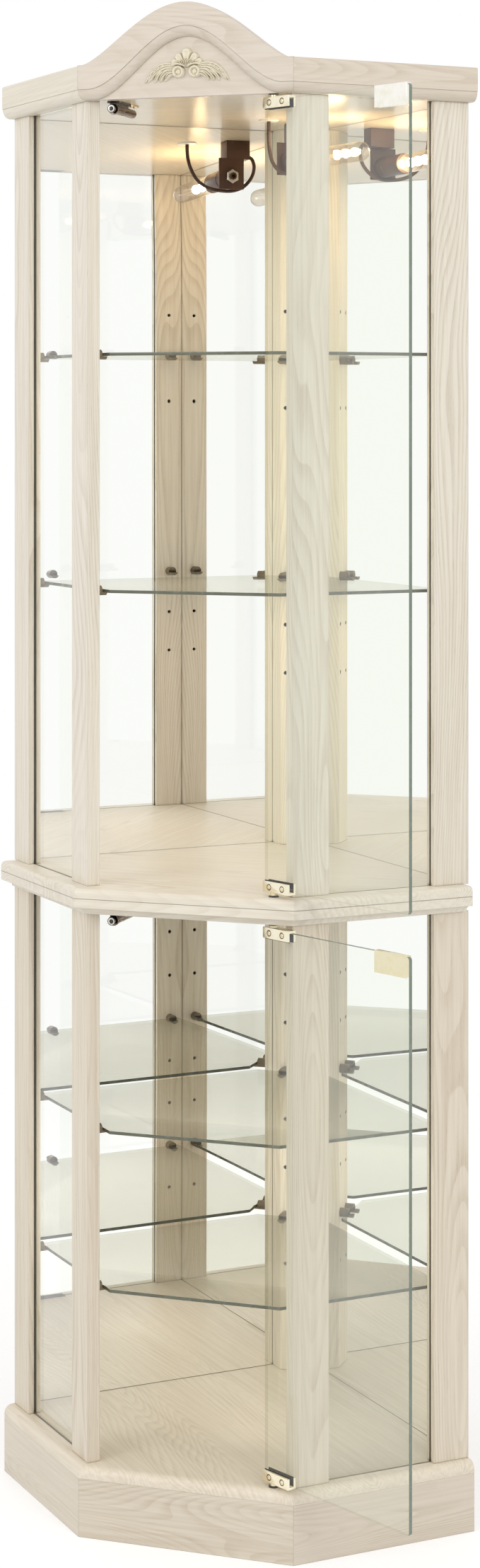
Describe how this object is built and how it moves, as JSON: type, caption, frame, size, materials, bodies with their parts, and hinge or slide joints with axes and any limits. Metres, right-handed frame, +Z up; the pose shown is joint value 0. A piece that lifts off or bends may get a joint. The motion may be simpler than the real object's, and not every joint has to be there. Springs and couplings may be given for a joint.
{
  "type": "corner display cabinet",
  "caption": "Tall lighted corner display cabinet with an arched crown, mirrored back walls, glass sides and shelves, touch latches and frameless glass doors on pivot hinges.",
  "frame": {"origin": "centre of the footprint of the box round the cabinet with its doors open, on the floor", "axes": "+Z up, +Y towards the back corner, the doors face -Y, +X to the hinge side of the doors"},
  "size_m": [0.6232, 0.5822, 1.829],
  "materials": {
    "bleached_oak": "whitewashed oak veneer, satin",
    "side_glass": "clear, polished",
    "mirror": "silvered glass",
    "back_panel": "plain fibreboard, matt",
    "ornament": "cream stained carving, satin",
    "shelf_glass": "clear, polished edges",
    "brown_plastic": "moulded, satin",
    "door_glass": "clear, polished edges",
    "hinge_brass": "polished",
    "black_rubber": "matt",
    "bright_plate": "polished",
    "black_plastic": "matt",
    "plunger": "moulded, gloss",
    "dark_brown_metal": "enamelled, satin",
    "nut_steel": "plated",
    "dark_brown_plastic": "moulded, satin",
    "bulb_glass": "clear bulb",
    "cord": "satin sheath",
    "white_plastic": "matt"
  },
  "bodies": {
    "cabinet": {"plinth_front": "bleached_oak", "plinth_left": "bleached_oak", "plinth_right": "bleached_oak", "plinth_back_rails": "bleached_oak", "base_board": "bleached_oak", "lower_top_board": "bleached_oak", "upper_base_board": "bleached_oak", "lower_post_back_left": "bleached_oak", "lower_post_front_left": "bleached_oak", "lower_post_front_right": "bleached_oak", "lower_post_back_right": "bleached_oak", "lower_back_post": "bleached_oak", "upper_post_back_left": "bleached_oak", "upper_post_front_left": "bleached_oak", "upper_post_front_right": "bleached_oak", "upper_post_back_right": "bleached_oak", "upper_back_post": "bleached_oak", "lower_glass_left": "side_glass", "lower_glass_right": "side_glass", "upper_glass_left": "side_glass", "upper_glass_right": "side_glass", "lower_mirror_left": "mirror", "lower_mirror_right": "mirror", "upper_mirror_left": "mirror", "upper_mirror_right": "mirror", "lower_back_panels": "back_panel", "upper_back_panels": "back_panel", "ceiling_board": "bleached_oak", "crown_front": "bleached_oak", "crown_left": "bleached_oak", "crown_right": "bleached_oak", "arch_moulding": "bleached_oak", "ornament": "ornament", "lower_shelf_bottom": "shelf_glass", "lower_shelf_top": "shelf_glass", "upper_shelf_bottom": "shelf_glass", "upper_shelf_top": "shelf_glass", "lower_shelf_pins": "brown_plastic", "upper_shelf_pins": "brown_plastic", "pivot_bushes": "black_plastic", "upper_latch": "brown_plastic", "lower_latch": "brown_plastic", "lamp_bracket": "dark_brown_metal", "lamp_nut": "nut_steel", "lamp_socket": "dark_brown_plastic", "lamp_bulb": "bulb_glass", "lamp_cord": "cord", "cord_grommet": "white_plastic"},
    "upper_door": {"upper_door_glass": "door_glass", "upper_hinge_clamps": "hinge_brass", "upper_hinge_pads": "black_rubber", "upper_hinge_screws": "hinge_brass", "upper_strike_clip": "bright_plate"},
    "lower_door": {"lower_door_glass": "door_glass", "lower_hinge_clamps": "hinge_brass", "lower_hinge_pads": "black_rubber", "lower_hinge_screws": "hinge_brass", "lower_strike_clip": "bright_plate"},
    "upper_latch_plunger": {"upper_plunger": "plunger"},
    "lower_latch_plunger": {"lower_plunger": "plunger"}
  },
  "joints": [
    {"name": "upper_door_hinge", "type": "hinge", "parent": "cabinet", "child": "upper_door", "pos_m": [0.106, -0.17396, 1.247], "axis": [0, 0, 1], "range_deg": [-150, 5]},
    {"name": "lower_door_hinge", "type": "hinge", "parent": "cabinet", "child": "lower_door", "pos_m": [0.106, -0.17396, 0.414], "axis": [0, 0, 1], "range_deg": [-150, 5]},
    {"name": "upper_latch_push", "type": "slide", "parent": "cabinet", "child": "upper_latch_plunger", "axis": [0, 1, 0], "range_m": [0, 0.0045], "stiffness_N_per_m": 200, "springref_m": -0.002},
    {"name": "lower_latch_push", "type": "slide", "parent": "cabinet", "child": "lower_latch_plunger", "axis": [0, 1, 0], "range_m": [0, 0.0045], "stiffness_N_per_m": 200, "springref_m": -0.002}
  ]
}
